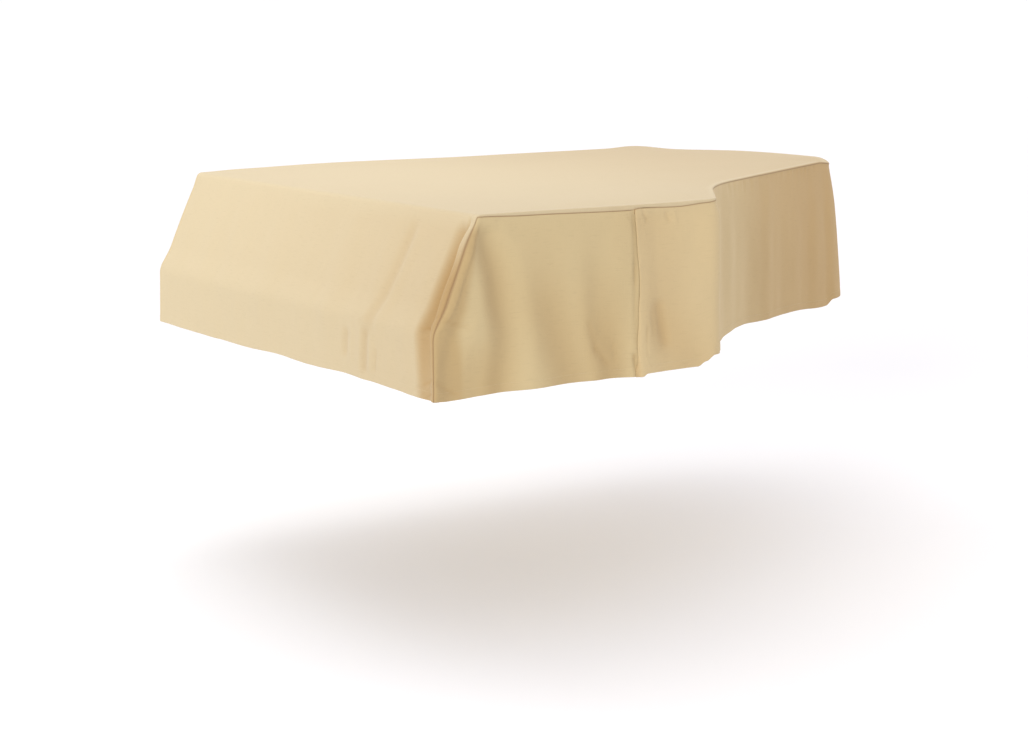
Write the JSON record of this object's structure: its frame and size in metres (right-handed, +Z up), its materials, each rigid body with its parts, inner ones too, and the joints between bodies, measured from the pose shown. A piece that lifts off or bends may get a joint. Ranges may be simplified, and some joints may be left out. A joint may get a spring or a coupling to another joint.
{
  "type": "grand piano cover",
  "caption": "Fitted cotton dust cover for a small grand piano, with a sloping front, a bent side and a skirt that hangs over the rim, open below.",
  "frame": {"origin": "on the underside of the cloth that lies on the lid, at half the width and 0.70 m behind the lid's front edge", "axes": "+X to the treble side, +Y to the tail, +Z up"},
  "size_m": [1.5505, 1.7065, 0.3929],
  "materials": {
    "cotton_top": "matt plain-woven undyed cotton",
    "cotton_treble": "matt plain-woven undyed cotton",
    "cotton_bent": "matt plain-woven undyed cotton",
    "cotton_bass": "matt plain-woven undyed cotton"
  },
  "bodies": {
    "root": {"top_and_front": "cotton_top", "treble_side": "cotton_treble", "bent_side": "cotton_bent", "bass_side": "cotton_bass"}
  },
  "joints": []
}
